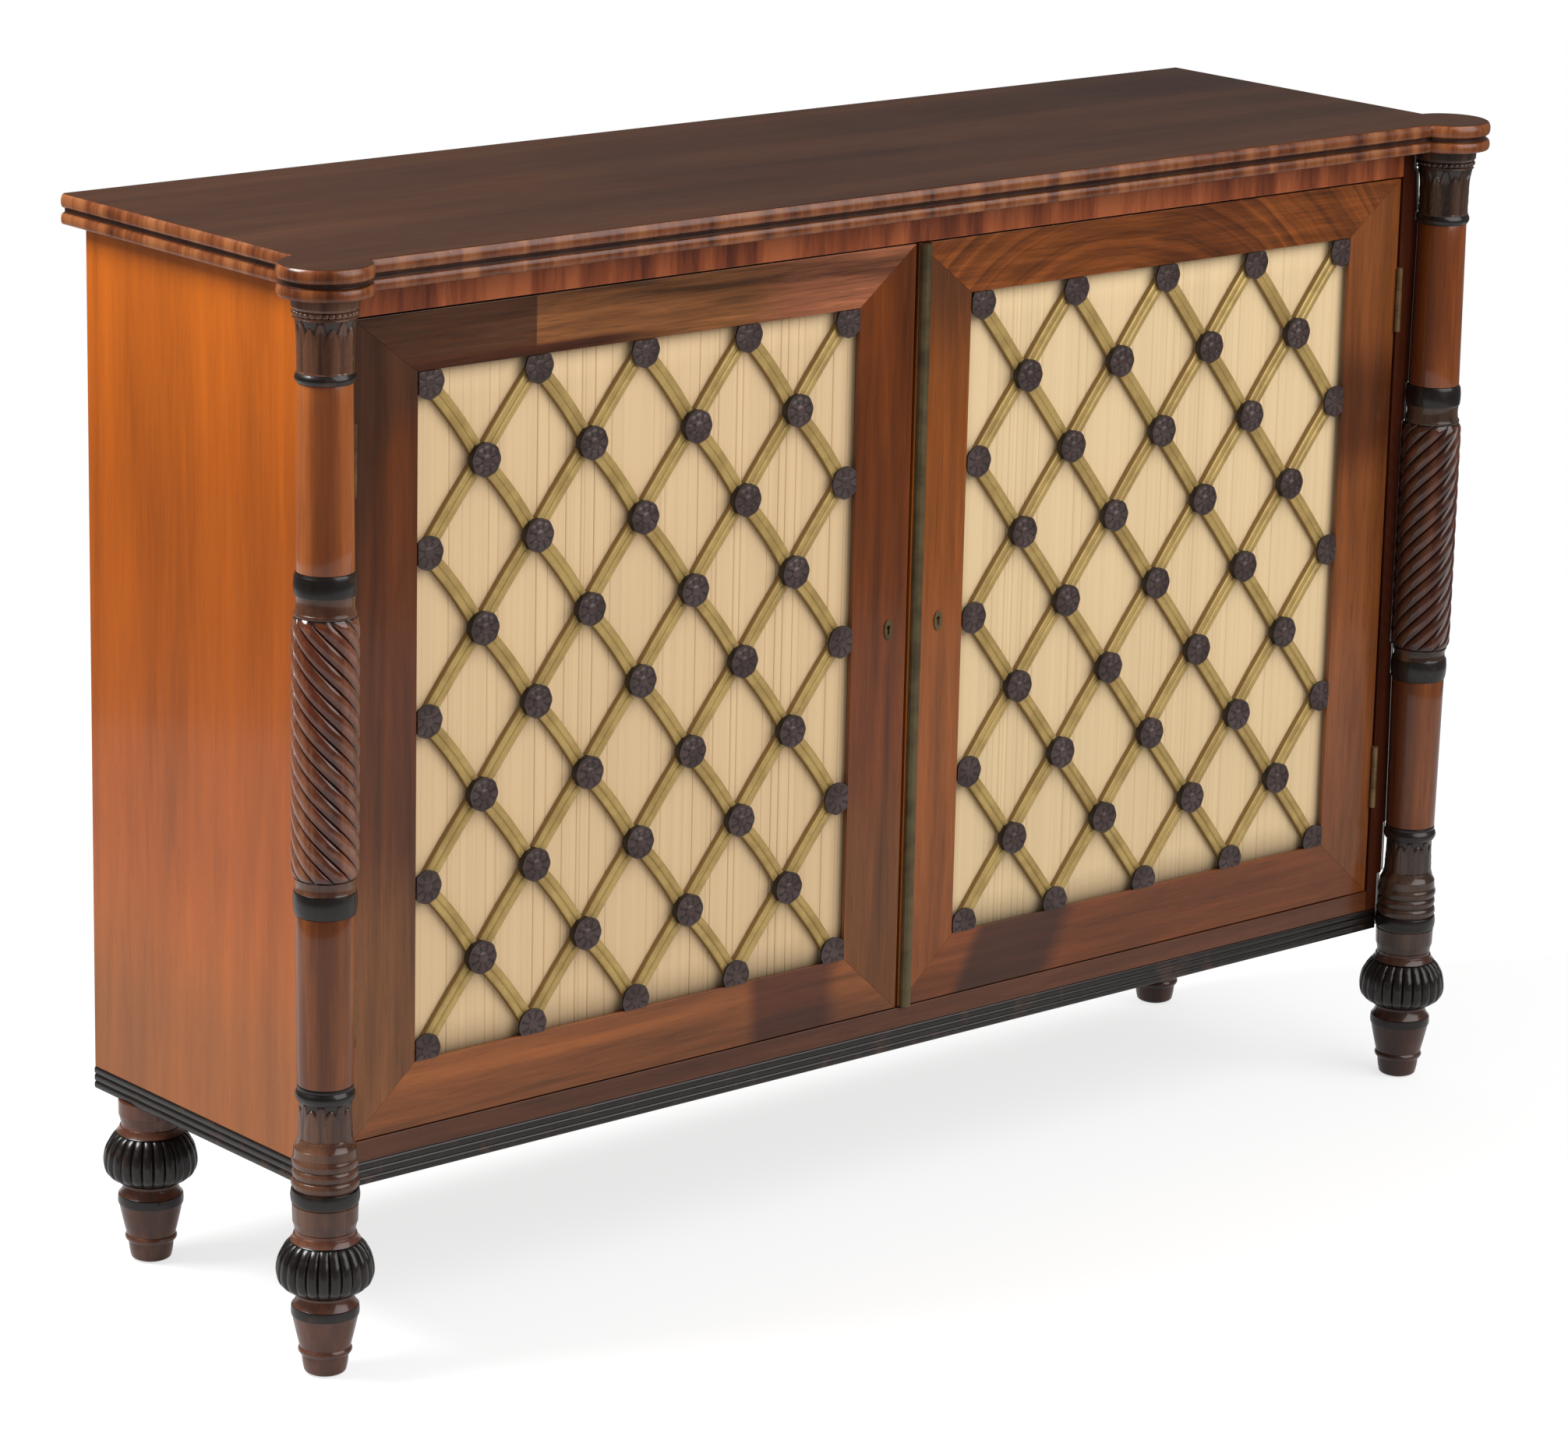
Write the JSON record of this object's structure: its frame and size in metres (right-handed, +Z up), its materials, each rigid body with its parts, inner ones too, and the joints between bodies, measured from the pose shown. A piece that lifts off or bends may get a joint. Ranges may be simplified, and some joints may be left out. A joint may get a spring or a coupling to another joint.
{
  "type": "side cabinet",
  "caption": "Low side cabinet on turned feet, with doors of brass trellis over pleated silk between corner columns with a spirally reeded middle.",
  "frame": {"origin": "centre of the bounding box on the floor, under the feet", "axes": "+X to the right as seen from the front, +Y from the front to the back, +Z up"},
  "size_m": [1.3096, 0.3935, 0.9],
  "materials": {
    "top_wood": "dark polished rosewood",
    "column_wood": "polished rosewood",
    "foot_wood": "dark polished wood",
    "ebonised_wood": "ebonised and polished",
    "door_veneer": "polished figured veneer",
    "case_wood": "polished mahogany",
    "inside_wood": "plain wood",
    "brass": "aged brass",
    "silk": "cream pleated silk"
  },
  "bodies": {
    "cabinet": {"top_board": "top_wood", "foot_front_left": "foot_wood", "foot_front_right": "foot_wood", "foot_back_left": "foot_wood", "foot_back_right": "foot_wood", "column_base_left": "column_wood", "column_base_right": "column_wood", "lower_shaft_left": "column_wood", "lower_shaft_right": "column_wood", "lower_ring_left": "ebonised_wood", "lower_ring_right": "ebonised_wood", "reeded_column_left": "column_wood", "reeded_column_right": "column_wood", "upper_ring_left": "ebonised_wood", "upper_ring_right": "ebonised_wood", "upper_shaft_left": "column_wood", "upper_shaft_right": "column_wood", "capital_left": "column_wood", "capital_right": "column_wood", "base_moulding_front": "ebonised_wood", "base_moulding_left": "ebonised_wood", "base_moulding_right": "ebonised_wood", "base_rail_back": "inside_wood", "corner_post_left": "case_wood", "corner_post_right": "case_wood", "side_panel_left": "case_wood", "side_panel_right": "case_wood", "back_panel": "inside_wood", "bottom_board": "door_veneer", "frieze_rail": "door_veneer", "shelf": "inside_wood", "hinge_post_leaf_left_upper": "brass", "hinge_post_leaf_left_lower": "brass", "hinge_post_leaf_right_upper": "brass", "hinge_post_leaf_right_lower": "brass"},
    "door_left": {"hinge_stile_left": "door_veneer", "meeting_stile_left": "door_veneer", "top_rail_left": "door_veneer", "bottom_rail_left": "door_veneer", "lattice_left": "brass", "silk_left": "silk", "escutcheon_left": "brass", "door_bolt_plate_upper": "brass", "door_bolt_plate_lower": "brass", "hinge_door_leaf_left_upper": "brass", "hinge_door_leaf_left_lower": "brass"},
    "door_right": {"hinge_stile_right": "door_veneer", "meeting_stile_right": "door_veneer", "top_rail_right": "door_veneer", "bottom_rail_right": "door_veneer", "lattice_right": "brass", "silk_right": "silk", "astragal_right": "brass", "escutcheon_right": "brass", "lock_case": "brass", "hinge_door_leaf_right_upper": "brass", "hinge_door_leaf_right_lower": "brass"},
    "lock_bolt": {"lock_bolt": "brass"},
    "door_bolt_upper": {"door_bolt_upper": "brass"},
    "door_bolt_lower": {"door_bolt_lower": "brass"}
  },
  "joints": [
    {"name": "door_left_hinge", "type": "hinge", "parent": "cabinet", "child": "door_left", "pos_m": [-0.5785, -0.14346, 0.181], "axis": [0, 0, -1], "range_deg": [0, 110]},
    {"name": "door_right_hinge", "type": "hinge", "parent": "cabinet", "child": "door_right", "pos_m": [0.5785, -0.14346, 0.181], "axis": [0, 0, 1], "range_deg": [0, 110]},
    {"name": "lock_bolt_slide", "type": "slide", "parent": "door_right", "child": "lock_bolt", "axis": [-1, 0, 0], "range_m": [0, 0.007]},
    {"name": "door_bolt_upper_slide", "type": "slide", "parent": "door_left", "child": "door_bolt_upper", "axis": [0, 0, 1], "range_m": [0, 0.009]},
    {"name": "door_bolt_lower_slide", "type": "slide", "parent": "door_left", "child": "door_bolt_lower", "axis": [0, 0, -1], "range_m": [0, 0.009]}
  ]
}
